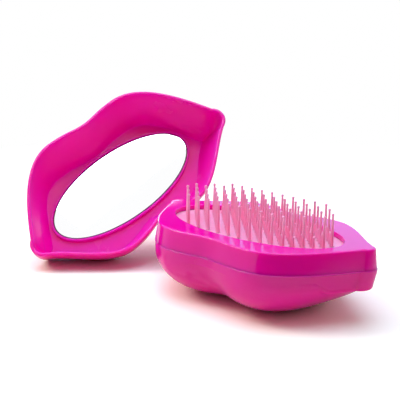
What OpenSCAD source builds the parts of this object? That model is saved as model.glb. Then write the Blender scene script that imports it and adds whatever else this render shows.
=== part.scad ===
// Compact lips-shaped detangling brush with a pull-off cover that holds an oval mirror.
// Millimetres. The origin is the middle of the brush's rest face, +Z is up, X runs from
// corner to corner and -Y is the upper lip's side. The cover stands beside the brush, off.

/* [Lips outline] */
// From the middle to the tip of a corner nub
half_length = 50; // [46:0.5:56]
// Upper lip's depth at the middle dip
bow_dip = 31.4; // [29:0.1:33]
// Upper lip's depth at its two bows
bow_depth = 33; // [31:0.1:35]
// Distance of a bow from the middle
bow_x = 17.5; // [14:0.5:20]
// Lower lip's depth at the middle
low_dip = 19.5; // [18:0.1:22]
// Lower lip's depth at its two shoulders
low_depth = 22.8; // [21:0.1:25]
// Distance of a shoulder from the middle
low_x = 17.8; // [15:0.1:20]
// Slope of the upper flank at a corner, from the long axis
upper_slope = 61.7; // [56:0.1:66]
// Slope of the lower flank at a corner, from the long axis
lower_slope = 28.8; // [24:0.1:34]
// Radius of a corner nub
nub_r = 3.1; // [2.4:0.1:4]
// Place of a corner nub across the brush
nub_y = 0.2; // [-2:0.1:2]
// How far the upper flank is set in beside the nub
nub_step = 0.6; // [0.2:0.1:1.2]

/* [Casing] */
// Height of the deck's top face above the table
brush_h = 28.6; // [25:0.1:34]
// Height of the deck band, from the seam to the top face
band_h = 7.7; // [6:0.1:9]
// How far the band widens from the top face to the seam
band_flare = 1.4; // [0.6:0.1:2]
// How far the base shell stands proud of the band at the seam
seam_ledge = 0.25; // [0.1:0.05:0.6]
// Radius of the deck's upper edge
deck_edge = 0.8; // [0.4:0.1:1.2]
// Thickness of the deck's top and side
deck_wall = 2; // [1.6:0.1:2.6]
// Wall of the base shell
base_wall = 1.8; // [1.4:0.1:2.4]
// Straight height of the base shell's wall below the seam
base_straight = 3.3; // [3:0.1:4.5]
// Depth of the valley between the two bows at the base
valley_depth = 5.4; // [3:0.1:8]
// Width of that valley
valley_w = 9.1; // [6:0.1:11]
// Half length of the level ridge along the base
ridge_x = 16.1; // [12:0.1:24]
// Place of that ridge across the brush
ridge_y = 1.3; // [-6:0.1:2]
// Fullness of the base along its sides
side_fullness = 2.8; // [2:0.1:3.2]
// Fullness of the base towards the corners
end_fullness = 1.35; // [1.1:0.05:1.8]
// Height of the base's flat-bottomed corners, from the seam down
corner_drop = 8.2; // [5:0.1:9]
// Length of such a corner, from the nub's tip
corner_length = 10.5; // [8:0.5:14]
// Radius of its lower edge
corner_edge = 1.4; // [0.8:0.1:2]
// How far a corner nub leans in from the deck's top face to the seam
nub_lean = 0.7; // [0:0.1:1]
// How far it leans in from the seam to its lower end
nub_draft = 1.4; // [0.5:0.1:2]
// How far the base shell is set in beside its nubs
base_step = 1.5; // [0.6:0.1:1.8]
// Depth of the deck's spigot in the base shell
spigot_h = 2.6; // [1.5:0.1:2.9]
// Wall of that spigot
spigot_wall = 1; // [0.9:0.1:1.5]
// Clearance round the spigot
spigot_gap = 0.1; // [0.05:0.01:0.2]

/* [Bristle pad] */
// Half length of the deck's oval window
window_a = 39; // [36.5:0.1:40.5]
// Half width of that window
window_b = 19.4; // [17.5:0.1:20]
// Middle of the window across the brush
window_y = -5.5; // [-7:0.1:-4]
// Flange of the pad beyond the window
pad_flange = 1.2; // [1:0.1:1.8]
// Thickness of the pad
pad_t = 1.6; // [1.2:0.1:2.4]
// Clearance round the pad and its retainer
pad_gap = 0.2; // [0.1:0.05:0.3]
// Rib of the deck round the pad
pad_rib = 0.8; // [0.6:0.1:1.1]
// Thickness of the retainer plate
retainer_t = 1.4; // [1:0.1:2]
// Spacing of the bristles of one height, along and across
pitch = 5.2; // [4.8:0.1:5.3]
// Rows of tall bristles
tall_rows = 6; // [4:2:6]
// Tall bristles in the two middle rows
tall_columns = 14; // [10:2:14]
// Height of the tall bristles above the deck
tall_h = 10.5; // [8:0.1:11.5]
// Height of the short bristles above the deck
short_h = 2.7; // [1:0.1:6]
// Radius of a bristle at its root
root_r = 0.68; // [0.5:0.01:0.9]
// Radius of a bristle at its round tip
tip_r = 0.4; // [0.3:0.01:0.5]

/* [Posts] */
// Distance of a support post from the middle, along
post_x = 16; // [10:0.5:18]
// Distance of a support post from the ridge, across
post_y = 6; // [4:0.5:8]
// Radius of a support post
post_r = 2.2; // [1.5:0.1:3]

/* [Cover] */
// How far the cover slides over the deck band when it is on
cover_seat = 5; // [4:0.1:6.5]
// Clearance between the cover's mouth and the band
cover_gap = 0.2; // [0.1:0.05:0.4]
// Wall of the cover
cover_wall = 1.5; // [1.2:0.1:2]
// Depth inside the cover, from its mouth to its floor
cover_depth = 20.3; // [19.6:0.1:24]
// How far the cover's floor is set in from the deck's outline
floor_inset = 5.7; // [5:0.1:6.2]
// Fullness of the cover's wall
cover_fullness = 1.8; // [1.6:0.1:3]
// Thickness of the cover's floor
floor_t = 1.6; // [1.3:0.1:2.2]
// Radius of the cover's outer edge
cover_edge = 4; // [2:0.1:4.5]

/* [Mirror] */
// Half length of the mirror
mirror_a = 36.3; // [33:0.1:36.6]
// Half width of the mirror
mirror_b = 16.3; // [14:0.1:16.6]
// Middle of the mirror across the cover
mirror_y = -6.8; // [-7.2:0.1:-6]
// Thickness of the glass
glass_t = 1.1; // [0.8:0.1:1.5]
// Thickness of the adhesive tape
tape_t = 0.3; // [0.2:0.05:0.6]
// How far the tape stays back from the glass's edge
tape_inset = 1.5; // [0.5:0.5:4]
// Clearance between the glass and its collar
collar_gap = 0.2; // [0.1:0.05:0.4]
// Wall of the collar
collar_wall = 1; // [0.7:0.1:1.2]
// Height of the collar above the glass
collar_lip = 0.5; // [0.2:0.1:1]

/* [Cover's place] */
// Place of the cover's mouth along the brush, from the corner that it stands beside
cover_x = -19; // [-40:0.1:-18]
// Place of the cover's mouth across the brush
cover_y = -6.3; // [-10:0.1:10]
// Turn of the cover about its own long axis
cover_roll = -47; // [-52:0.1:-44]
// Tilt of the cover about its short axis
cover_tilt = 30.1; // [28:0.1:33]
// Turn of the cover about the vertical
cover_turn = -107.8; // [-112:0.1:-104]

/* [Hidden] */

pink = "#e0308c";
soft_pink = "#f19ac8";
pale = "#e9e6ea";

seam_z = brush_h - band_h;
under_z = brush_h - deck_wall;
pad_z = under_z - pad_t;
retainer_z = pad_z - retainer_t;
ledge_offset = band_flare + seam_ledge;
spigot_offset = ledge_offset - base_wall - spigot_gap;
pad_a = window_a + pad_flange;
pad_b = window_b + pad_flange;

mouth_in = band_flare * cover_seat / band_h + cover_gap;
mouth_out = mouth_in + cover_wall;
cover_outer = cover_depth + floor_t;
glass_z = -cover_depth + tape_t;
collar_z = glass_z + glass_t + collar_lip;
mouth_edge = 0.5;
mouth_bevel = mouth_edge * (1 - cos(45));
// How far a bristle's root and a post's foot reach into what they stand on
root_sink = 0.4;

// Smallest radius left at a corner when the outline is inset
corner_min = 0.6;
// Largest share of a corner's radius that its flank is set in
corner_bend = 0.6;
// Share of the half length from which the corners lean in
lean_start = 0.6;
// Points along each stretch of half an outline
bow_n = 8;
upper_n = 14;
nub_n = 9;
lower_n = 12;
dip_n = 6;
// Points round an oval plate, and steps of the deck's rounded edge
oval_n = 96;
edge_n = 4;
// Tangent lengths of the outline's curves
dip_pull = 5.9;
bow_pull_in = 10.3;
bow_pull_out = 13.5;
upper_pull = 19;
lower_pull = 10;
shoulder_pull_out = 10.9;
shoulder_pull_in = 9.7;
low_dip_pull = 3.4;

// ---- the lips outline ----

function bezier(a, b, c, d, n) = [for (i = [0:n - 1]) let (t = i / n, u = 1 - t)
    u * u * u * a + 3 * u * u * t * b + 3 * u * t * t * c + t * t * t * d];

function along(angle) = [cos(angle), sin(angle)];

// Right half of the outline, moved outwards by grow, from the bow's dip to the lower dip
function half_outline(grow, nub_set) =
    let (upper_n_angle = upper_slope - 90,
        lower_n_angle = 90 - lower_slope,
        r = max(nub_r + grow, corner_min),
        step = min(nub_set, corner_bend * r),
        back = (corner_min - min(nub_r + grow, corner_min))
            / sin((180 - lower_n_angle + upper_n_angle) / 2),
        centre = [half_length - nub_r, nub_y]
            - back * along((upper_n_angle + lower_n_angle) / 2),
        nub_start = upper_n_angle - acos(1 - step / r),
        dip = [0, -bow_dip - grow],
        bow = [bow_x, -bow_depth - grow],
        flank = centre + r * along(nub_start),
        low = centre + r * along(lower_n_angle),
        shoulder = [low_x, low_depth + grow],
        low_middle = [0, low_dip + grow])
    concat(
        bezier(dip, dip + [dip_pull, 0], bow - [bow_pull_in, 0], bow, bow_n),
        bezier(bow, bow + [bow_pull_out, 0], flank - upper_pull * along(upper_slope), flank,
            upper_n),
        [for (i = [0:nub_n - 1])
            centre + r * along(nub_start + (lower_n_angle - nub_start) * i / nub_n)],
        bezier(low, low + lower_pull * along(180 - lower_slope),
            shoulder + [shoulder_pull_out, 0], shoulder, lower_n),
        bezier(shoulder, shoulder - [shoulder_pull_in, 0], low_middle + [low_dip_pull, 0],
            low_middle, dip_n),
        [low_middle]);

// The whole outline, counter-clockwise seen from above
function outline(grow, nub_set = nub_step) =
    let (right = half_outline(grow, nub_set), last = len(right) - 1)
    concat(right, [for (i = [last - 1:-1:1]) [-right[i].x, right[i].y]]);

function at_height(points, z) = [for (p = points) [p.x, p.y, z]];

function eased(t) = let (u = max(min(t, 1), 0)) u * u * (3 - 2 * u);

// An outline with its corners drawn in along the brush by an amount
function drawn_in(points, amount) = [for (p = points)
    [p.x - sign(p.x) * amount * eased((abs(p.x) / half_length - lean_start) / (1 - lean_start)),
        p.y]];

// An oval with one point for each point of the outline
function oval(a, b, y) = [for (p = outline(0))
    let (t = atan2((p.y - y) / b, p.x / a)) [a * cos(t), y + b * sin(t)]];

// ---- solids from rings of points ----

// A solid through a list of rings of equal length, its ends capped, or joined up if closed
module loft(rings, closed = false) {
    n = len(rings[0]);
    m = len(rings);
    sides = [for (k = [0:closed ? m - 1 : m - 2], i = [0:n - 1])
        let (a = k * n, b = ((k + 1) % m) * n, j = (i + 1) % n)
        each [[a + i, b + i, b + j], [a + i, b + j, a + j]]];
    caps = closed ? [] : [[for (i = [0:n - 1]) i], [for (i = [n - 1:-1:0]) (m - 1) * n + i]];
    polyhedron(points = [for (r = rings, p = r) p], faces = concat(sides, caps), convexity = 8);
}

module oval_plate(a, b, y, thickness) {
    linear_extrude(thickness)
        polygon([for (i = [0:oval_n - 1]) let (t = 360 * i / oval_n) [a * cos(t), y + b * sin(t)]]);
}

// ---- base shell ----

dome_n = 16;
inner_dome_n = 9;
// How the dome's rings are spaced, closer together at both of its ends
dome_spacing = 1.5;
// Share of the dome's full roundness at which the rest face cuts it
dome_cut = 0.975;
// Height below the seam over which the groove beside a nub deepens
groove_drop = 0.8;
// Share of the dome's roundness over which that groove runs out
groove_end = 0.25;
// Length over which a flat-bottomed corner passes into the dome
corner_blend = 5;
spring_z = seam_z - base_straight;

// Exponent with which the side's fullness passes into the end's
fullness_bend = 1.25;
// How late the valley fades out towards the rest face
valley_fade = 1.5;
// How tightly the ridge's ends pass into the dome's ends
ridge_bend = 5;

// Exponent of the dome's section at a place along the brush
function fullness(x) = let (w = pow(min(abs(x) / half_length, 1), fullness_bend))
    side_fullness * (1 - w) + end_fullness * w;

// Height of the flat bottom at a place along the brush, up to where the wall ends
function flat_z(x) = spring_z - (corner_drop - base_straight)
    * eased((abs(x) - half_length + corner_length) / corner_blend + 0.5);

// One ring of the dome: outer outline points drawn in towards the ridge, s from 0 to 1
function dome_ring(points, s, floor_z, edge) = [for (p = points)
    let (e = fullness(p.x),
        c = pow(1 - pow(s, e), 1 / e),
        ridge = [p.x / pow(1 + pow(abs(p.x) / ridge_x, ridge_bend), 1 / ridge_bend), ridge_y],
        front = max(min(-p.y / bow_dip, 1), 0),
        valley = valley_depth * exp(-pow(p.x / valley_w, 2)) * front * s * min(1, valley_fade * c),
        q = ridge + c * (p - ridge),
        short = max(edge - norm(q - p), 0),
        dome_z = floor_z + (spring_z - floor_z) * (1 - s / dome_cut))
    [q.x, q.y + valley,
        min(dome_z, flat_z(p.x) + floor_z + edge - sqrt(edge * edge - short * short))]];

function dome_side(k, n) = dome_cut * pow(sin(90 * k / n), dome_spacing);

function base_rings() =
    let (lean = nub_lean + nub_draft,
        outer = drawn_in(outline(ledge_offset, base_step), nub_lean),
        inner = drawn_in(outline(ledge_offset - base_wall, base_step), nub_lean))
    concat(
        [for (k = [dome_n:-1:0]) let (s = dome_side(k, dome_n),
                groove = base_step * max(1 - s / groove_end, 0))
            dome_ring(drawn_in(outline(ledge_offset, groove), lean), s, 0, corner_edge)],
        [at_height(outer, seam_z - groove_drop),
            at_height(drawn_in(outline(ledge_offset), nub_lean), seam_z),
            at_height(inner, seam_z),
            at_height(inner, seam_z - spigot_h - spigot_gap)],
        [for (k = [0:inner_dome_n])
            dome_ring(drawn_in(outline(ledge_offset - base_wall, base_step), lean),
                dome_side(k, inner_dome_n), base_wall, 0)]);

module base_shell() {
    color(pink) {
        loft(base_rings());
        for (side = [-1, 1], across = [-1, 1])
            translate([side * post_x, ridge_y + across * post_y, base_wall - root_sink])
                cylinder(r = post_r, h = retainer_z - base_wall + root_sink, $fn = 32);
    }
}

// ---- deck frame ----

// One ring of the deck's rounded upper edge, at a share of the band's flare and lean
function edge_ring(share, turn) = at_height(
    drawn_in(outline(band_flare * share - deck_edge * (1 - cos(turn))), nub_lean * share),
    brush_h - deck_edge * (1 - sin(turn)));

function deck_rings() =
    let (window = oval(window_a, window_b, window_y),
        rib_in = oval(pad_a + pad_gap, pad_b + pad_gap, window_y),
        rib_out = oval(pad_a + pad_gap + pad_rib, pad_b + pad_gap + pad_rib, window_y),
        spigot = drawn_in(outline(spigot_offset, base_step), nub_lean),
        spigot_in = drawn_in(outline(spigot_offset - spigot_wall, base_step), nub_lean))
    concat(
        [at_height(drawn_in(outline(band_flare), nub_lean), seam_z)],
        [for (k = [0:edge_n]) edge_ring(deck_edge / band_h, 90 * k / edge_n)],
        [at_height(window, brush_h),
            at_height(window, under_z),
            at_height(rib_in, under_z),
            at_height(rib_in, retainer_z),
            at_height(rib_out, retainer_z),
            at_height(rib_out, under_z),
            at_height(spigot_in, under_z),
            at_height(spigot_in, seam_z - spigot_h),
            at_height(spigot, seam_z - spigot_h),
            at_height(spigot, seam_z)]);

module deck_frame() {
    color(pink) loft(deck_rings(), closed = true);
}

// ---- bristle pad ----

module bristle(height) {
    length = height + deck_wall - tip_r;
    translate([0, 0, under_z - root_sink])
        cylinder(r1 = root_r, r2 = tip_r, h = length + root_sink, $fn = 16);
    translate([0, 0, under_z + length]) sphere(r = tip_r, $fn = 16);
}

// Bristles of one height stand on a square grid. The field's corners are cut off, so that
// each row outwards from the middle is one bristle shorter at each end.
module bristle_field(rows, columns, height) {
    last_row = (rows - 1) / 2;
    last_column = (columns - 1) / 2;
    reach = (tall_columns - 1) / 2 + 0.5;
    for (row = [-last_row:last_row], column = [-last_column:last_column])
        if (abs(row) + abs(column) <= reach)
            translate([column * pitch, window_y + row * pitch, 0]) bristle(height);
}

module bristle_pad() {
    color(soft_pink) {
        translate([0, 0, pad_z]) oval_plate(pad_a, pad_b, window_y, pad_t);
        bristle_field(tall_rows, tall_columns, tall_h);
        bristle_field(tall_rows - 1, tall_columns - 1, short_h);
    }
}

module pad_retainer() {
    color(pale) translate([0, 0, retainer_z]) oval_plate(pad_a, pad_b, window_y, retainer_t);
}

// ---- cover ----

// Offset of the cover's inner wall at a depth below its mouth
function cover_in(depth) = mouth_in
    - (mouth_in + floor_inset) * pow(depth / cover_depth, cover_fullness);

// Offset of its outer wall, with a rounded edge round the outer floor
function cover_out(depth) =
    let (over = max(depth - cover_outer + cover_edge, 0))
    mouth_out - (mouth_out + floor_inset - cover_wall) * pow(depth / cover_outer, cover_fullness)
        - cover_edge + sqrt(cover_edge * cover_edge - over * over);

outer_depths = [for (f = [1, 0.985, 0.95, 0.9, 0.8, 0.65, 0.5, 0.35, 0.2]) f * cover_outer];
inner_depths = [for (f = [0.2, 0.4, 0.55, 0.7, 0.8, 0.9, 1]) f * cover_depth];

function cover_rings() =
    let (collar_a = mirror_a + collar_gap, collar_b = mirror_b + collar_gap,
        collar_out = oval(collar_a + collar_wall, collar_b + collar_wall, mirror_y),
        collar_in = oval(collar_a, collar_b, mirror_y))
    concat(
        [for (d = outer_depths) at_height(outline(cover_out(d)), -d)],
        [at_height(outline(mouth_out), -mouth_edge),
            at_height(outline(mouth_out - mouth_bevel), -mouth_bevel),
            at_height(outline(mouth_out - mouth_edge), 0),
            at_height(outline(mouth_in + mouth_edge), 0),
            at_height(outline(mouth_in), -mouth_edge)],
        [for (d = inner_depths) at_height(outline(cover_in(d)), -d)],
        [at_height(collar_out, -cover_depth),
            at_height(collar_out, collar_z),
            at_height(collar_in, collar_z),
            at_height(collar_in, -cover_depth)]);

// The cover stands on the table: its lowest point is worked out from its own rings
up_row = [-sin(cover_tilt), cos(cover_tilt) * sin(cover_roll),
    cos(cover_tilt) * cos(cover_roll)];
cover_z = -min([for (r = cover_rings(), p = r) up_row * p]);

module place_cover() {
    corner_x = -half_length - band_flare + nub_lean;
    translate([corner_x + cover_x, cover_y, cover_z]) rotate([cover_roll, cover_tilt, cover_turn])
        mirror([1, 0, 0]) children();
}

module cover_shell() {
    color(pink) place_cover() loft(cover_rings());
}

module mirror_glass() {
    color(pale) place_cover() translate([0, 0, glass_z])
        oval_plate(mirror_a, mirror_b, mirror_y, glass_t);
}

module mirror_tape() {
    color("white") place_cover() translate([0, 0, -cover_depth])
        oval_plate(mirror_a - tape_inset, mirror_b - tape_inset, mirror_y, tape_t);
}

base_shell();
deck_frame();
bristle_pad();
pad_retainer();
cover_shell();
mirror_glass();
mirror_tape();
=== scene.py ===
"""Looks for the compact lips-shaped brush and its mirror cover.

Shapes are worked out in millimetres, in the frame of the solids, and scaled to metres as
each piece is finished. The outline and the dome follow the same sizes as the solids do.
"""

import math

import bmesh
import bpy
from mathutils import Matrix, Vector


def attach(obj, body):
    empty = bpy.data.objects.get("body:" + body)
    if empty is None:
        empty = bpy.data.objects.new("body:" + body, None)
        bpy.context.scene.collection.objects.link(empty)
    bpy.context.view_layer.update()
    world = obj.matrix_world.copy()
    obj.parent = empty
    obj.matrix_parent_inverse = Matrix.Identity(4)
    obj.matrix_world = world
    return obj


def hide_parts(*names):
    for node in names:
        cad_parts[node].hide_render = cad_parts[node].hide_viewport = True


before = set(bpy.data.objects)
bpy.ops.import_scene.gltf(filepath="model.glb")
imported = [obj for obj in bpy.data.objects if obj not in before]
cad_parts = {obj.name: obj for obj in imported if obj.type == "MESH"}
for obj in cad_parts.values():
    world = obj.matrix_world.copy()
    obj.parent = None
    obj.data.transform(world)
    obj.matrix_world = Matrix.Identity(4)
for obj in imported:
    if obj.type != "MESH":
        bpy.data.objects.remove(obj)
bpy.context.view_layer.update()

MM = 0.001

# ---------------------------------------------------------------- sizes, in millimetres

HALF_LENGTH = 50.0
BOW_DIP, BOW_DEPTH, BOW_X = 31.4, 33.0, 17.5
LOW_DIP, LOW_DEPTH, LOW_X = 19.5, 22.8, 17.8
UPPER_SLOPE, LOWER_SLOPE = 61.7, 28.8
NUB_R, NUB_Y, NUB_STEP = 3.1, 0.2, 0.6

BRUSH_H, BAND_H, BAND_FLARE = 28.6, 7.7, 1.4
SEAM_LEDGE, DECK_EDGE, DECK_WALL, BASE_WALL = 0.25, 0.8, 2.0, 1.8
BASE_STRAIGHT = 3.3
VALLEY_DEPTH, VALLEY_W = 5.4, 9.1
RIDGE_X, RIDGE_Y = 16.1, 1.3
SIDE_FULLNESS, END_FULLNESS = 2.8, 1.35
CORNER_DROP, CORNER_LENGTH, CORNER_EDGE = 8.2, 10.5, 1.4
NUB_LEAN, NUB_DRAFT, BASE_STEP = 0.7, 1.4, 1.5
SPIGOT_H, SPIGOT_WALL, SPIGOT_GAP = 2.6, 1.0, 0.1

WINDOW_A, WINDOW_B, WINDOW_Y = 39.0, 19.4, -5.5
PAD_FLANGE, PAD_T, PAD_GAP, PAD_RIB = 1.2, 1.6, 0.2, 0.8
RETAINER_T = 1.4
PITCH, TALL_ROWS, TALL_COLUMNS = 5.2, 6, 14
TALL_H, SHORT_H = 10.5, 2.7
ROOT_R, TIP_R, BEAD_R = 0.68, 0.4, 0.55
# How far a bristle's flared root starts below the pad's face, ends above it and widens
FLARE_SINK, FLARE_H, FLARE_W = 0.3, 0.4, 0.3
POST_X, POST_Y, POST_R = 16.0, 6.0, 2.2

COVER_SEAT, COVER_GAP, COVER_WALL = 5.0, 0.2, 1.5
COVER_DEPTH, FLOOR_INSET, COVER_FULLNESS = 20.3, 5.7, 1.8
FLOOR_T, COVER_EDGE = 1.6, 4.0
MIRROR_A, MIRROR_B, MIRROR_Y = 36.3, 16.3, -6.8
GLASS_T, TAPE_T = 1.1, 0.3
COLLAR_GAP, COLLAR_WALL, COLLAR_LIP = 0.2, 1.0, 0.5
COVER_X, COVER_Y = -69.7, -6.3
COVER_ROLL, COVER_TILT, COVER_TURN = -47.0, 30.1, -107.8

# Rounded edges, the mirror's bevel and the width of the band's flat foot
WINDOW_EDGE, COVER_RIM, COLLAR_EDGE, GLASS_BEVEL, BAND_FOOT = 0.3, 0.5, 0.25, 0.35, 0.5
# How deep a post or a rib sinks into what carries it
ROOT_SINK = 0.4
# Depths below the seam at which a nub's groove is whole, starts to close and is shut
GROOVE_WHOLE, GROOVE_START, GROOVE_SHUT = 1.0, 0.8, 0.35

SEAM_Z = BRUSH_H - BAND_H
SPRING_Z = SEAM_Z - BASE_STRAIGHT
UNDER_Z = BRUSH_H - DECK_WALL
PAD_Z = UNDER_Z - PAD_T
RETAINER_Z = PAD_Z - RETAINER_T
LEDGE = BAND_FLARE + SEAM_LEDGE
SPIGOT = LEDGE - BASE_WALL - SPIGOT_GAP
MOUTH_IN = BAND_FLARE * COVER_SEAT / BAND_H + COVER_GAP
MOUTH_OUT = MOUTH_IN + COVER_WALL
COVER_OUTER = COVER_DEPTH + FLOOR_T
GLASS_Z = TAPE_T - COVER_DEPTH
COLLAR_Z = GLASS_Z + GLASS_T + COLLAR_LIP

# ---------------------------------------------------------------- shares, bends and counts

# Smallest radius left at a corner when the outline is inset
CORNER_MIN = 0.6
# Largest share of a corner's radius that its flank is set in
CORNER_BEND = 0.6
# Share of the half length from which the corners lean in
LEAN_START = 0.6
# Tangent lengths of the outline's curves
DIP_PULL, BOW_PULL_IN, BOW_PULL_OUT, UPPER_PULL = 5.9, 10.3, 13.5, 19
LOWER_PULL, SHOULDER_PULL_OUT, SHOULDER_PULL_IN, LOW_DIP_PULL = 10, 10.9, 9.7, 3.4

# Share of the dome's full roundness at which the rest face cuts it
DOME_CUT = 0.975
# How the dome's rings are spaced, closer together at both of its ends
DOME_SPACING = 1.5
# Share of the dome's roundness over which the groove beside a nub runs out
GROOVE_END = 0.25
# Exponent with which the side's fullness passes into the end's
FULLNESS_BEND = 1.25
# How late the valley fades out towards the rest face
VALLEY_FADE = 1.5
# How tightly the ridge's ends pass into the dome's ends
RIDGE_BEND = 5
# Length over which a flat-bottomed corner passes into the dome, and how softly they meet
CORNER_BLEND, CORNER_SOFT = 5, 0.5
# Shares of the band's height that carry a ring between the seam and the top
BAND_SHARES = 0.7, 0.4

# Points along each stretch of half an outline
BOW_N, UPPER_N, NUB_N, LOWER_N, DIP_N = 22, 40, 22, 36, 20
# Rings of the dome outside and inside, and of the cover's edge, side and inside
DOME_N, INNER_DOME_N = 44, 12
COVER_EDGE_N, COVER_SIDE_N, COVER_INSIDE_N = 10, 17, 24
# Steps of the rounded edges, of a bead, and sides of the turned forms
EDGE_N, DECK_EDGE_N, COVER_RIM_N, BEAD_N = 4, 7, 5, 3
POST_N, BRISTLE_N = 32, 8
# Rings past the cover's rim at which its satin inside starts, painted lighter and more
# violet for the cool light it catches
LINING_START = 3
# Angles in degrees below which the faces beside an edge shade as one
CREASE, BRISTLE_CREASE, GLASS_CREASE = 32, 50, 20
# Distance in millimetres under which two corners of a mesh are one
SAME_PLACE = 0.0005

# ---------------------------------------------------------------- the lips outline


def along(degrees):
    return Vector((math.cos(math.radians(degrees)), math.sin(math.radians(degrees))))


def bezier(a, b, c, d, count):
    """Points of a curve from a towards d, without d itself."""
    points = []
    for i in range(count):
        t = i / count
        u = 1 - t
        points.append(u**3 * a + 3 * u * u * t * b + 3 * u * t * t * c + t**3 * d)
    return points


def outline(grow, nub_set=NUB_STEP):
    """The lips outline moved outwards by grow, counter-clockwise from the bow's dip."""
    upper_normal = UPPER_SLOPE - 90
    lower_normal = 90 - LOWER_SLOPE
    r = max(NUB_R + grow, CORNER_MIN)
    step = min(nub_set, CORNER_BEND * r)
    back = (CORNER_MIN - min(NUB_R + grow, CORNER_MIN)) / math.sin(
        math.radians((180 - lower_normal + upper_normal) / 2)
    )
    centre = Vector((HALF_LENGTH - NUB_R, NUB_Y)) - back * along(
        (upper_normal + lower_normal) / 2
    )
    nub_start = upper_normal - math.degrees(math.acos(1 - step / r))
    dip = Vector((0, -BOW_DIP - grow))
    bow = Vector((BOW_X, -BOW_DEPTH - grow))
    flank = centre + r * along(nub_start)
    low = centre + r * along(lower_normal)
    shoulder = Vector((LOW_X, LOW_DEPTH + grow))
    low_middle = Vector((0, LOW_DIP + grow))
    x = Vector((1, 0))
    right = bezier(dip, dip + DIP_PULL * x, bow - BOW_PULL_IN * x, bow, BOW_N)
    right += bezier(
        bow,
        bow + BOW_PULL_OUT * x,
        flank - UPPER_PULL * along(UPPER_SLOPE),
        flank,
        UPPER_N,
    )
    right += [
        centre + r * along(nub_start + (lower_normal - nub_start) * i / NUB_N)
        for i in range(NUB_N)
    ]
    right += bezier(
        low,
        low + LOWER_PULL * along(180 - LOWER_SLOPE),
        shoulder + SHOULDER_PULL_OUT * x,
        shoulder,
        LOWER_N,
    )
    right += bezier(
        shoulder,
        shoulder - SHOULDER_PULL_IN * x,
        low_middle + LOW_DIP_PULL * x,
        low_middle,
        DIP_N,
    )
    left = [Vector((-p.x, p.y)) for p in reversed(right[1:])]
    return right + [low_middle] + left


def eased(t):
    """0 to 1 with a soft start and end."""
    t = max(min(t, 1), 0)
    return t * t * (3 - 2 * t)


def drawn_in(points, amount):
    """The outline with its corners drawn in along the brush by an amount."""
    moved = []
    for p in points:
        share = eased((abs(p.x) / HALF_LENGTH - LEAN_START) / (1 - LEAN_START))
        moved.append(Vector((p.x - math.copysign(amount * share, p.x), p.y)))
    return moved


def oval(a, b, y):
    """An oval with one point for each point of the outline."""
    points = []
    for p in outline(0):
        t = math.atan2((p.y - y) / b, p.x / a)
        points.append(Vector((a * math.cos(t), y + b * math.sin(t))))
    return points


def at(points, z):
    return [Vector((p.x, p.y, z)) for p in points]


def rounded(edge, count):
    """How far in and how far down the points of a rounded edge are, from its side up."""
    turns = [math.pi / 2 * i / count for i in range(count + 1)]
    return [(edge * (1 - math.cos(a)), edge * (1 - math.sin(a))) for a in turns]


# ---------------------------------------------------------------- mesh helpers


def loft(bm, rings, closed=False, lined_from=None):
    """Extrudes a ring of edges through rings of points, its ends filled, or joined up.

    From the ring lined_from on, the sides take the piece's second material.
    """
    corners = [bm.verts.new(p) for p in rings[0]]
    loop = [bm.edges.new(pair) for pair in zip(corners, corners[1:] + corners[:1])]
    first = loop
    for i, ring in enumerate(rings[1:] + (rings[:1] if closed else [])):
        order = {corner.co.to_tuple(5): j for j, corner in enumerate(corners)}
        made = bmesh.ops.extrude_edge_only(bm, edges=loop)["geom"]
        corners = [v for v in made if isinstance(v, bmesh.types.BMVert)]
        corners.sort(key=lambda v: order[v.co.to_tuple(5)])
        loop = [e for e in made if isinstance(e, bmesh.types.BMEdge)]
        if lined_from is not None and i >= lined_from:
            for edge in loop:
                edge.link_faces[0].material_index = 1
        for corner, point in zip(corners, ring):
            corner.co = point
    if not closed:
        bmesh.ops.edgeloop_fill(bm, edges=first)
        bmesh.ops.edgeloop_fill(bm, edges=loop)


def lathe(bm, profile, centre, steps):
    """Spins a profile of (radius, height) points, the first and last on the axis."""
    x, y = centre
    line = [bm.verts.new((x + r, y, z)) for r, z in profile]
    edges = [bm.edges.new(pair) for pair in zip(line, line[1:])]
    bmesh.ops.spin(
        bm,
        geom=line + edges,
        cent=(x, y, 0),
        axis=(0, 0, 1),
        angle=math.tau,
        steps=steps,
        use_merge=True,
    )
    # The ends on the axis leave copies behind that no face uses
    loose = [v for v in bm.verts if not v.link_faces]
    bmesh.ops.delete(bm, geom=loose, context="VERTS")


def finish_piece(bm, name, body, node, place=None, crease=CREASE):
    """Turns the millimetre mesh into a placed piece in metres with tidy normals."""
    bmesh.ops.remove_doubles(bm, verts=bm.verts, dist=SAME_PLACE)
    if place is not None:
        bmesh.ops.transform(bm, matrix=place, verts=bm.verts)
    bmesh.ops.scale(bm, vec=(MM, MM, MM), verts=bm.verts)
    bmesh.ops.recalc_face_normals(bm, faces=bm.faces)
    for face in bm.faces:
        face.smooth = True
    for edge in bm.edges:
        if len(edge.link_faces) == 2:
            edge.smooth = edge.calc_face_angle() < math.radians(crease)
    mesh = bpy.data.meshes.new(name)
    bm.to_mesh(mesh)
    bm.free()
    piece = bpy.data.objects.new(name, mesh)
    bpy.context.scene.collection.objects.link(piece)
    weigh = piece.modifiers.new("flat_faces_stay_flat", "WEIGHTED_NORMAL")
    weigh.keep_sharp = True
    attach(piece, body)
    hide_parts(node)
    return piece


def paint(piece, *materials):
    """Gives a piece its materials, and leaves its faces' choice between them alone."""
    if piece.data.materials:
        piece.data.materials.clear()
    for material in materials:
        piece.data.materials.append(material)


# ---------------------------------------------------------------- materials


def feed(tree, socket, value):
    """Sets a socket to a value, or links it to another node's output."""
    if isinstance(value, bpy.types.NodeSocket):
        tree.links.new(value, socket)
    else:
        socket.default_value = value


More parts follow.
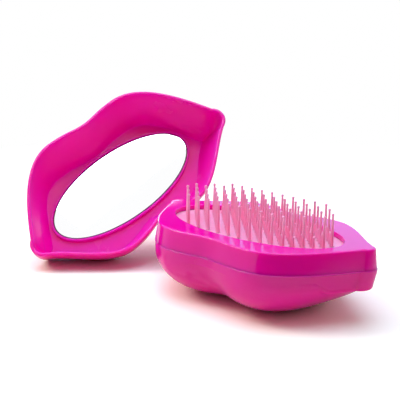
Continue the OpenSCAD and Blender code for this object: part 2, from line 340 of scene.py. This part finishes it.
def combine(tree, operation, a, b):
    node = tree.nodes.new("ShaderNodeMath")
    node.operation = operation
    feed(tree, node.inputs[0], a)
    feed(tree, node.inputs[1], b)
    return node.outputs[0]


def stretch(tree, source, low, high, start=0.0, end=1.0):
    """Maps a value between start and end onto low to high, held at both ends."""
    node = tree.nodes.new("ShaderNodeMapRange")
    for key, value in (
        ("Value", source),
        ("From Min", start),
        ("From Max", end),
        ("To Min", low),
        ("To Max", high),
    ):
        feed(tree, node.inputs[key], value)
    return node.outputs["Result"]


# Sockets of a Mix node that are for colours
MIX_FIRST, MIX_SECOND, MIX_COLOUR = 6, 7, 2


def blend(tree, share, first, second):
    """A colour between two others, by a share from 0 to 1."""
    node = tree.nodes.new("ShaderNodeMix")
    node.data_type = "RGBA"
    feed(tree, node.inputs["Factor"], share)
    feed(tree, node.inputs[MIX_FIRST], first)
    feed(tree, node.inputs[MIX_SECOND], second)
    return node.outputs[MIX_COLOUR]


class Recipe:
    """A material with its Principled shader and short ways to add texture nodes."""

    def __init__(self, name):
        self.material = bpy.data.materials.new(name)
        self.material.use_nodes = True
        self.nodes = self.material.node_tree.nodes
        self.links = self.material.node_tree.links
        self.shader = self.nodes["Principled BSDF"]
        self.place = self.nodes.new("ShaderNodeTexCoord")

    def set(self, **values):
        for key, value in values.items():
            self.shader.inputs[key.replace("_", " ")].default_value = value

    def noise(self, scale, detail=3.0, roughness=0.5, by_axis=(1, 1, 1)):
        mapping = self.nodes.new("ShaderNodeMapping")
        mapping.inputs["Scale"].default_value = by_axis
        texture = self.nodes.new("ShaderNodeTexNoise")
        texture.inputs["Scale"].default_value = scale
        texture.inputs["Detail"].default_value = detail
        texture.inputs["Roughness"].default_value = roughness
        self.links.new(self.place.outputs["Object"], mapping.inputs["Vector"])
        self.links.new(mapping.outputs["Vector"], texture.inputs["Vector"])
        return texture.outputs["Fac"]

    def ramp(self, source, stops):
        ramp = self.nodes.new("ShaderNodeValToRGB")
        points = ramp.color_ramp.elements
        while len(points) < len(stops):
            points.new(0.5)
        for point, (position, colour) in zip(points, stops):
            point.position = position
            point.color = (*colour, 1)
        self.links.new(source, ramp.inputs["Fac"])
        return ramp.outputs["Color"]

    def spread(self, source, low, high, start=0.3, end=0.7):
        return stretch(self.material.node_tree, source, low, high, start, end)

    def bump(self, source, strength, distance, under=None):
        node = self.nodes.new("ShaderNodeBump")
        node.inputs["Strength"].default_value = strength
        node.inputs["Distance"].default_value = distance
        self.links.new(source, node.inputs["Height"])
        if under is not None:
            self.links.new(under, node.inputs["Normal"])
        return node.outputs["Normal"]

    def join(self, output, key):
        self.links.new(output, self.shader.inputs[key])


def linear(r, g, b):
    """A colour written as 0 to 255 for the screen, as the shader wants it."""
    return tuple(
        c / 255 / 12.92 if c <= 10 else ((c / 255 + 0.055) / 1.055) ** 2.4
        for c in (r, g, b)
    )


def magenta_moulding(name, red, blue, glint, smoothest, roughest):
    """Injection moulding: even pigment, faint flow marks, a light orange peel."""
    m = Recipe(name)
    m.set(
        Specular_IOR_Level=glint,
        Subsurface_Weight=0.9,
        Subsurface_Scale=0.003,
        Subsurface_Radius=(1.0, 0.03, 1.0),
        # The violet sheen is a painted reflection, standing in for cool light caught on the
        # top and edges
        Sheen_Weight=0.2,
        Sheen_Roughness=0.3,
        Sheen_Tint=(0.5, 0.35, 1, 1),
    )
    flow = m.noise(26, 2, 0.4, by_axis=(1, 1, 2.4))
    colour = m.ramp(
        flow,
        [
            (0.25, linear(red - 4, 0, blue - 6)),
            (0.5, linear(red, 0, blue)),
            (0.75, linear(red + 4, 1, blue + 6)),
        ],
    )
    m.join(colour, "Base Color")
    m.join(m.spread(m.noise(60, 4, 0.6), smoothest, roughest), "Roughness")
    peel = m.bump(m.noise(420, 2), 0.03, 0.0006)
    scuffs = m.noise(300, 5, 0.7, by_axis=(1, 7, 2))
    m.join(m.bump(scuffs, 0.015, 0.0003, under=peel), "Normal")
    return m.material


def soft_pink():
    """Flexible, slightly cloudy moulding of the pad and its bristles."""
    m = Recipe("soft_pink")
    m.set(
        Specular_IOR_Level=0.45,
        Subsurface_Weight=0.7,
        Subsurface_Scale=0.003,
        Subsurface_Radius=(1.0, 0.5, 0.6),
    )
    cloud = m.noise(90, 3, 0.5)
    colour = m.ramp(
        cloud,
        [(0.3, linear(252, 156, 186)), (0.7, linear(252, 176, 202))],
    )
    m.join(colour, "Base Color")
    m.join(m.spread(m.noise(240, 3), 0.3, 0.45), "Roughness")
    m.join(m.bump(m.noise(900, 2), 0.08, 0.0004), "Normal")
    return m.material


def silvered_glass():
    """The front of the mirror, with a hint of uneven polish."""
    m = Recipe("silvered_glass")
    m.set(Metallic=1.0)
    tint = m.ramp(
        m.noise(30, 2), [(0.3, (0.975, 0.98, 0.985)), (0.7, (0.99, 0.995, 1.0))]
    )
    m.join(tint, "Base Color")
    m.join(m.spread(m.noise(45, 4), 0.008, 0.02), "Roughness")
    m.join(m.bump(m.noise(25, 1), 0.01, 0.0002), "Normal")
    return m.material


def glass_edge():
    """The ground edge and bevel of the mirror, painted dark grey as a line of shade around
    the glass.
    """
    m = Recipe("glass_edge")
    tint = m.ramp(
        m.noise(500, 3), [(0.3, linear(38, 44, 44)), (0.7, linear(84, 92, 90))]
    )
    m.join(tint, "Base Color")
    m.join(m.spread(m.noise(700, 3), 0.2, 0.4), "Roughness")
    m.join(m.bump(m.noise(1500, 2), 0.2, 0.0002), "Normal")
    return m.material


def plain_moulding():
    """Undyed stiff plastic of the hidden retainer."""
    m = Recipe("plain_moulding")
    tint = m.ramp(
        m.noise(60, 3), [(0.3, linear(222, 216, 222)), (0.7, linear(236, 232, 236))]
    )
    m.join(tint, "Base Color")
    m.join(m.spread(m.noise(200, 3), 0.4, 0.55), "Roughness")
    m.join(m.bump(m.noise(800, 2), 0.1, 0.0003), "Normal")
    return m.material


def foam():
    """White foam tape behind the mirror."""
    m = Recipe("foam")
    pores = m.noise(2500, 4, 0.7)
    tint = m.ramp(pores, [(0.35, linear(206, 206, 204)), (0.65, linear(240, 240, 238))])
    m.join(tint, "Base Color")
    m.join(m.spread(pores, 0.75, 0.9), "Roughness")
    m.join(m.bump(pores, 0.4, 0.0004), "Normal")
    return m.material


magenta = magenta_moulding(
    "glossy_magenta", red=236, blue=160, glint=0.35, smoothest=0.06, roughest=0.12
)
# The same plastic as outside: the lining's lighter, more violet colour is painted light,
# the cool light inside the cover
satin_magenta_painted_light = magenta_moulding(
    "satin_magenta_painted_light", red=246, blue=184, glint=0.28, smoothest=0.2, roughest=0.28
)

# ---------------------------------------------------------------- base shell


def fullness(x):
    """Exponent of the dome's section at a place along the brush."""
    w = min(abs(x) / HALF_LENGTH, 1) ** FULLNESS_BEND
    return SIDE_FULLNESS * (1 - w) + END_FULLNESS * w


def flat_z(x):
    """Height of the flat bottom of the corners, up to where the wall ends."""
    share = eased((abs(x) - HALF_LENGTH + CORNER_LENGTH) / CORNER_BLEND + 0.5)
    return SPRING_Z - (CORNER_DROP - BASE_STRAIGHT) * share


def lower_of(a, b, soft):
    """The lower of two heights, rounded off over a small difference."""
    near = max(soft - abs(a - b), 0) / soft
    return min(a, b) - near * near * soft / 4


def dome_ring(points, s, floor_z, edge):
    """One ring of the dome: outline points drawn in towards the ridge, s from 0 to 1."""
    ring = []
    for p in points:
        e = fullness(p.x)
        c = (1 - s**e) ** (1 / e)
        bend = (1 + (abs(p.x) / RIDGE_X) ** RIDGE_BEND) ** (1 / RIDGE_BEND)
        ridge = Vector((p.x / bend, RIDGE_Y))
        front = max(min(-p.y / BOW_DIP, 1), 0)
        valley = VALLEY_DEPTH * math.exp(-((p.x / VALLEY_W) ** 2))
        valley *= front * s * min(1, VALLEY_FADE * c)
        q = ridge + c * (p - ridge)
        short = max(edge - (q - p).length, 0)
        dome_z = floor_z + (SPRING_Z - floor_z) * (1 - s / DOME_CUT)
        foot_z = flat_z(p.x) + floor_z + edge - math.sqrt(edge**2 - short**2)
        z = max(lower_of(dome_z, foot_z, CORNER_SOFT), floor_z)
        ring.append(Vector((q.x, q.y + valley, z)))
    return ring


def dome(grow, step, floor_z, edge, count):
    """Rings of a dome, from the rest face up to where its wall starts to run straight."""
    rings = []
    for k in range(count, -1, -1):
        s = DOME_CUT * math.sin(math.pi / 2 * k / count) ** DOME_SPACING
        groove = step * max(1 - s / GROOVE_END, 0) if edge else step
        points = drawn_in(outline(grow, groove), NUB_LEAN + NUB_DRAFT)
        rings.append(dome_ring(points, s, floor_z, edge))
    return rings


def make_base_shell():
    bm = bmesh.new()
    outer = drawn_in(outline(LEDGE, BASE_STEP), NUB_LEAN)
    rim = drawn_in(outline(LEDGE), NUB_LEAN)
    inner = drawn_in(outline(LEDGE - BASE_WALL, BASE_STEP), NUB_LEAN)
    rings = dome(LEDGE, BASE_STEP, 0, CORNER_EDGE, DOME_N)
    rings.append(at(outer, SEAM_Z - GROOVE_WHOLE))
    rings.append(at(outer, SEAM_Z - GROOVE_START))
    rings.append(at(rim, SEAM_Z - GROOVE_SHUT))
    for inset, drop in rounded(SEAM_LEDGE, EDGE_N):
        rings.append(at(drawn_in(outline(LEDGE - inset), NUB_LEAN), SEAM_Z - drop))
    rings.append(at(inner, SEAM_Z))
    rings.append(at(inner, SEAM_Z - SPIGOT_H - SPIGOT_GAP))
    rings += reversed(dome(LEDGE - BASE_WALL, BASE_STEP, BASE_WALL, 0, INNER_DOME_N))
    loft(bm, rings)
    post = [(0, BASE_WALL - ROOT_SINK), (POST_R, BASE_WALL - ROOT_SINK)]
    post += [(POST_R, RETAINER_Z), (0, RETAINER_Z)]
    for side in (-1, 1):
        for across in (-1, 1):
            lathe(bm, post, (side * POST_X, RIDGE_Y + across * POST_Y), POST_N)
    piece = finish_piece(bm, "domed_casing", "brush", "base_shell")
    paint(piece, magenta)


# ---------------------------------------------------------------- deck


def band_ring(share, inset, z):
    """The band's outline at a share of its flare, 1 at the seam and 0 at the top."""
    return at(drawn_in(outline(BAND_FLARE * share - inset), NUB_LEAN * share), z)


def make_deck():
    bm = bmesh.new()
    rings = [band_ring(1, BAND_FOOT, SEAM_Z), band_ring(1, 0, SEAM_Z)]
    for share in BAND_SHARES:
        rings.append(band_ring(share, 0, BRUSH_H - BAND_H * share))
    for inset, drop in rounded(DECK_EDGE, DECK_EDGE_N):
        rings.append(band_ring(DECK_EDGE / BAND_H, inset, BRUSH_H - drop))
    for drop, out in rounded(WINDOW_EDGE, EDGE_N):
        rings.append(at(oval(WINDOW_A + out, WINDOW_B + out, WINDOW_Y), BRUSH_H - drop))
    spigot = drawn_in(outline(SPIGOT, BASE_STEP), NUB_LEAN)
    spigot_in = drawn_in(outline(SPIGOT - SPIGOT_WALL, BASE_STEP), NUB_LEAN)
    rings.append(at(oval(WINDOW_A, WINDOW_B, WINDOW_Y), UNDER_Z))
    rings.append(at(spigot_in, UNDER_Z))
    rings.append(at(spigot_in, SEAM_Z - SPIGOT_H))
    rings.append(at(spigot, SEAM_Z - SPIGOT_H))
    rings.append(at(spigot, SEAM_Z))
    loft(bm, rings, closed=True)
    rib = WINDOW_A + PAD_FLANGE + PAD_GAP, WINDOW_B + PAD_FLANGE + PAD_GAP
    wide = [r + PAD_RIB for r in rib]
    loft(
        bm,
        [
            at(oval(*r, WINDOW_Y), z)
            for r, z in (
                (wide, RETAINER_Z),
                (wide, UNDER_Z + ROOT_SINK),
                (rib, UNDER_Z + ROOT_SINK),
                (rib, RETAINER_Z),
            )
        ],
        closed=True,
    )
    piece = finish_piece(bm, "deck", "brush", "deck_frame")
    paint(piece, magenta)


# ---------------------------------------------------------------- bristle pad


def bristle_profile(height):
    """Radius and height of a bristle, with a flared root and a bead for a tip."""
    root = UNDER_Z - FLARE_SINK
    top = BRUSH_H + height
    profile = [(0, root), (ROOT_R + FLARE_W, root), (ROOT_R, UNDER_Z + FLARE_H)]
    profile.append((TIP_R, top - 2 * BEAD_R))
    for inset, drop in rounded(BEAD_R, BEAD_N)[:-1]:
        profile.append((BEAD_R - inset, top - drop))
    return profile + [(0, top)]


def make_pad():
    bm = bmesh.new()
    loft(
        bm,
        [
            at(oval(WINDOW_A + PAD_FLANGE, WINDOW_B + PAD_FLANGE, WINDOW_Y), z)
            for z in (PAD_Z, UNDER_Z)
        ],
    )
    reach = (TALL_COLUMNS - 1) / 2 + 0.5
    for rows, columns, height in (
        (TALL_ROWS, TALL_COLUMNS, TALL_H),
        (TALL_ROWS - 1, TALL_COLUMNS - 1, SHORT_H),
    ):
        for i in range(rows):
            for j in range(columns):
                row = i - (rows - 1) / 2
                column = j - (columns - 1) / 2
                if abs(row) + abs(column) <= reach:
                    centre = column * PITCH, WINDOW_Y + row * PITCH
                    lathe(bm, bristle_profile(height), centre, BRISTLE_N)
    piece = finish_piece(
        bm, "bristle_moulding", "brush", "bristle_pad", crease=BRISTLE_CREASE
    )
    paint(piece, soft_pink())


# ---------------------------------------------------------------- cover


def cover_in(depth):
    """How far the cover's inside lies outside the lips outline at a depth."""
    return MOUTH_IN - (MOUTH_IN + FLOOR_INSET) * (depth / COVER_DEPTH) ** COVER_FULLNESS


def cover_out(depth):
    """How far the cover's outside lies outside the lips outline at a depth."""
    over = max(depth - COVER_OUTER + COVER_EDGE, 0)
    curve = (MOUTH_OUT + FLOOR_INSET - COVER_WALL) * (
        depth / COVER_OUTER
    ) ** COVER_FULLNESS
    return MOUTH_OUT - curve - COVER_EDGE + math.sqrt(COVER_EDGE**2 - over**2)


def cover_place(z):
    """From the cover's own frame to where it leans, mirrored as it was turned over."""
    turns = (COVER_TURN, "Z"), (COVER_TILT, "Y"), (COVER_ROLL, "X")
    place = Matrix.Translation((COVER_X, COVER_Y, z))
    for angle, axis in turns:
        place = place @ Matrix.Rotation(math.radians(angle), 4, axis)
    return place @ Matrix.Diagonal((-1, 1, 1, 1))


def cover_rings():
    """Rings of the cover in its own frame, its mouth up: outside, rim, then inside."""
    rings = []
    for i in range(COVER_EDGE_N):
        turn = math.pi / 2 * (1 - i / COVER_EDGE_N)
        depth = COVER_OUTER - COVER_EDGE * (1 - math.sin(turn))
        rings.append(at(outline(cover_out(depth)), -depth))
    for i in range(1, COVER_SIDE_N):
        depth = (COVER_OUTER - COVER_EDGE) * (1 - i / COVER_SIDE_N)
        rings.append(at(outline(cover_out(depth)), -depth))
    for inset, drop in rounded(COVER_RIM, COVER_RIM_N):
        rings.append(at(outline(MOUTH_OUT - inset), -drop))
    for inset, drop in reversed(rounded(COVER_RIM, COVER_RIM_N)):
        rings.append(at(outline(MOUTH_IN + inset), -drop))
    for i in range(1, COVER_INSIDE_N + 1):
        depth = COVER_DEPTH * i / COVER_INSIDE_N
        rings.append(at(outline(cover_in(depth)), -depth))
    return rings


def make_cover(place):
    bm = bmesh.new()
    rings = cover_rings()
    rim = max(range(len(rings)), key=lambda i: rings[i][0].z)
    steps = rounded(COLLAR_EDGE, EDGE_N)
    collar = [(COLLAR_WALL, -COVER_DEPTH)]
    collar += [(COLLAR_WALL - inset, COLLAR_Z - drop) for inset, drop in steps]
    collar += [(inset, COLLAR_Z - drop) for inset, drop in reversed(steps)]
    collar += [(0, -COVER_DEPTH)]
    a, b = MIRROR_A + COLLAR_GAP, MIRROR_B + COLLAR_GAP
    rings += [at(oval(a + out, b + out, MIRROR_Y), z) for out, z in collar]
    loft(bm, rings, lined_from=rim + LINING_START)
    piece = finish_piece(bm, "mirror_cover", "cover", "cover_shell", place)
    paint(piece, magenta, satin_magenta_painted_light)


def make_mirror(place):
    bm = bmesh.new()
    front = GLASS_Z + GLASS_T
    side = oval(MIRROR_A, MIRROR_B, MIRROR_Y)
    face = oval(MIRROR_A - GLASS_BEVEL, MIRROR_B - GLASS_BEVEL, MIRROR_Y)
    rings = [at(side, GLASS_Z), at(side, front - GLASS_BEVEL), at(face, front)]
    loft(bm, rings, lined_from=0)
    piece = finish_piece(
        bm,
        "mirror_plate",
        "cover",
        "mirror_glass",
        place,
        crease=GLASS_CREASE,
    )
    paint(piece, silvered_glass(), glass_edge())


make_base_shell()
make_deck()
make_pad()

flat = cover_place(0)
lowest = min((flat @ p).z for ring in cover_rings() for p in ring)
leaning = cover_place(-lowest)
make_cover(leaning)
make_mirror(leaning)
paint(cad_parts["pad_retainer"], plain_moulding())
paint(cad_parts["mirror_tape"], foam())

# ---------------------------------------------------------------- floor, light and camera

# The floor's colour in the light that it throws back, and as it is seen
FLOOR_COLOUR = (0.96, 0.88, 0.66, 1)
FLOOR_SEEN = (1.16, 1.22, 0.97, 1)
# Half the floor's width, and the distances over which it fades to white, in metres
FLOOR_REACH = 0.6
FLOOR_FADE = 0.16, 0.34
# The room's light, and the heights over which it comes in
ROOM_LIGHT = 0.36
ROOM_RISE = 0.1, 0.7
# Ends of the room as gloss mirrors them: their direction, and where they start and are full
DARK_END = (0.94, -0.34, 0), 0.24, 0.32
COOL_END = (-0.68, 0.73, 0), 0.2, 0.7
# How dark the dark end is, the heights over which it ends, and the cool end's colour
DARK_LEVEL = 0.06
DARK_TOP = 0.3, 0.5
COOL_TINT = (0.6, 1.1, 1.8, 1)
WHITE = (1, 1, 1, 1)

# The camera's angles in degrees and its place in metres, its lens in millimetres
CAMERA_TURN, CAMERA_TILT, CAMERA_ROLL = 42.74, 13.99, 0.80
CAMERA_PLACE = (0.21527, -0.27029, 0.12301)
LENS, SENSOR = 82.32, 36
NEAREST = 0.01


def ray_kind(tree, *kinds):
    """1 for rays of the kinds named, 0 for the rest."""
    path = tree.nodes.new("ShaderNodeLightPath")
    seen = path.outputs[kinds[0]]
    for key in kinds[1:]:
        seen = combine(tree, "MAXIMUM", seen, path.outputs[key])
    return seen


def end_of_room(tree, place, direction, start, full):
    """1 towards one end of the room, 0 elsewhere."""
    level = tree.nodes.new("ShaderNodeVectorMath")
    level.operation = "MULTIPLY"
    feed(tree, level.inputs[0], place)
    level.inputs[1].default_value = (1, 1, 0)
    along_floor = tree.nodes.new("ShaderNodeVectorMath")
    along_floor.operation = "NORMALIZE"
    feed(tree, along_floor.inputs[0], level.outputs["Vector"])
    towards = tree.nodes.new("ShaderNodeVectorMath")
    towards.operation = "DOT_PRODUCT"
    feed(tree, towards.inputs[0], along_floor.outputs["Vector"])
    towards.inputs[1].default_value = direction
    return stretch(tree, towards.outputs["Value"], 0.0, 1.0, start, full)


def make_world():
    """Light from above, white to the camera, and a room of two ends for gloss to mirror."""
    world = bpy.data.worlds.new("soft_room")
    world.use_nodes = True
    bpy.context.scene.world = world
    tree = world.node_tree
    room = tree.nodes["Background"]
    place = tree.nodes.new("ShaderNodeTexCoord").outputs["Generated"]
    split = tree.nodes.new("ShaderNodeSeparateXYZ")
    feed(tree, split.inputs[0], place)
    height = split.outputs["Z"]
    low = stretch(tree, height, 1.0, 0.0, *DARK_TOP)
    dark = combine(tree, "MULTIPLY", end_of_room(tree, place, *DARK_END), low)
    mirrored = stretch(tree, dark, 1.0, DARK_LEVEL)
    above = stretch(tree, height, 0.0, ROOM_LIGHT, *ROOM_RISE)
    glossy = ray_kind(tree, "Is Glossy Ray")
    light = stretch(tree, glossy, above, mirrored)
    cool = combine(tree, "MULTIPLY", end_of_room(tree, place, *COOL_END), glossy)
    feed(tree, room.inputs["Color"], blend(tree, cool, WHITE, COOL_TINT))
    plain = ray_kind(tree, "Is Camera Ray", "Is Transmission Ray")
    feed(tree, room.inputs["Strength"], stretch(tree, plain, light, 1.0))


def make_floor():
    """A pale floor that keeps the shadow near the part and runs out to plain white."""
    bm = bmesh.new()
    bmesh.ops.create_grid(bm, x_segments=1, y_segments=1, size=FLOOR_REACH)
    mesh = bpy.data.meshes.new("floor")
    bm.to_mesh(mesh)
    bm.free()
    floor = bpy.data.objects.new("floor", mesh)
    bpy.context.scene.collection.objects.link(floor)
    m = Recipe("white_sweep")
    tree = m.material.node_tree
    m.set(Roughness=0.6, Specular_IOR_Level=0.2)
    plain = ray_kind(tree, "Is Camera Ray", "Is Transmission Ray")
    m.join(blend(tree, plain, FLOOR_COLOUR, FLOOR_SEEN), "Base Color")
    place = m.place.outputs["Object"]
    distance = tree.nodes.new("ShaderNodeVectorMath")
    distance.operation = "LENGTH"
    feed(tree, distance.inputs[0], place)
    far = stretch(tree, distance.outputs["Value"], 0.0, 1.0, *FLOOR_FADE)
    glossy = ray_kind(tree, "Is Glossy Ray")
    white = tree.nodes.new("ShaderNodeEmission")
    dark = combine(tree, "MULTIPLY", end_of_room(tree, place, *DARK_END), glossy)
    feed(tree, white.inputs["Strength"], stretch(tree, dark, 1.0, DARK_LEVEL))
    mix = tree.nodes.new("ShaderNodeMixShader")
    seen = combine(tree, "MAXIMUM", plain, glossy)
    feed(tree, mix.inputs["Fac"], combine(tree, "MULTIPLY", far, seen))
    feed(tree, mix.inputs[1], m.shader.outputs["BSDF"])
    feed(tree, mix.inputs[2], white.outputs["Emission"])
    feed(tree, tree.nodes["Material Output"].inputs["Surface"], mix.outputs["Shader"])
    paint(floor, m.material)


def add_softbox(name, place, aim, width, power, tint=(1, 1, 1)):
    """A square lamp turned from its place towards its aim."""
    light = bpy.data.lights.new(name, "AREA")
    light.shape = "SQUARE"
    light.size = width
    light.energy = power
    light.color = tint
    lamp = bpy.data.objects.new(name, light)
    bpy.context.scene.collection.objects.link(lamp)
    lamp.location = place
    forwards = Vector(aim) - Vector(place)
    lamp.rotation_euler = forwards.to_track_quat("-Z", "Y").to_euler()


def make_camera():
    """A long lens that looks down on the brush's front, with a slight roll."""
    turn, tilt, roll = map(math.radians, (CAMERA_TURN, CAMERA_TILT, CAMERA_ROLL))
    back = Vector(
        (
            math.sin(turn) * math.cos(tilt),
            -math.cos(turn) * math.cos(tilt),
            math.sin(tilt),
        )
    )
    level = Vector((math.cos(turn), math.sin(turn), 0))
    up = back.cross(level)
    right = level * math.cos(roll) + up * math.sin(roll)
    up = up * math.cos(roll) - level * math.sin(roll)
    lens = bpy.data.cameras.new("camera")
    lens.sensor_width = SENSOR
    lens.lens = LENS
    lens.clip_start = NEAREST
    camera = bpy.data.objects.new("camera", lens)
    bpy.context.scene.collection.objects.link(camera)
    place = Matrix((right, up, back)).transposed().to_4x4()
    place.translation = CAMERA_PLACE
    camera.matrix_world = place
    bpy.context.scene.camera = camera


bpy.context.scene.view_settings.view_transform = "Standard"
make_world()
make_floor()
add_softbox(
    "overhead",
    place=(-0.15, 0.0, 0.9),
    aim=(0, 0, 0.02),
    width=1.0,
    power=10.6,
    tint=(0.66, 0.68, 1),
)
add_softbox(
    "front_left",
    place=(-0.6, -0.42, 0.6),
    aim=(0, 0, 0.02),
    width=0.35,
    power=3.4,
    tint=(1, 0.92, 0.88),
)
add_softbox("right", place=(0.5, 0.5, 0.4), aim=(-0.05, 0, 0.04), width=0.4, power=0.7)
make_camera()
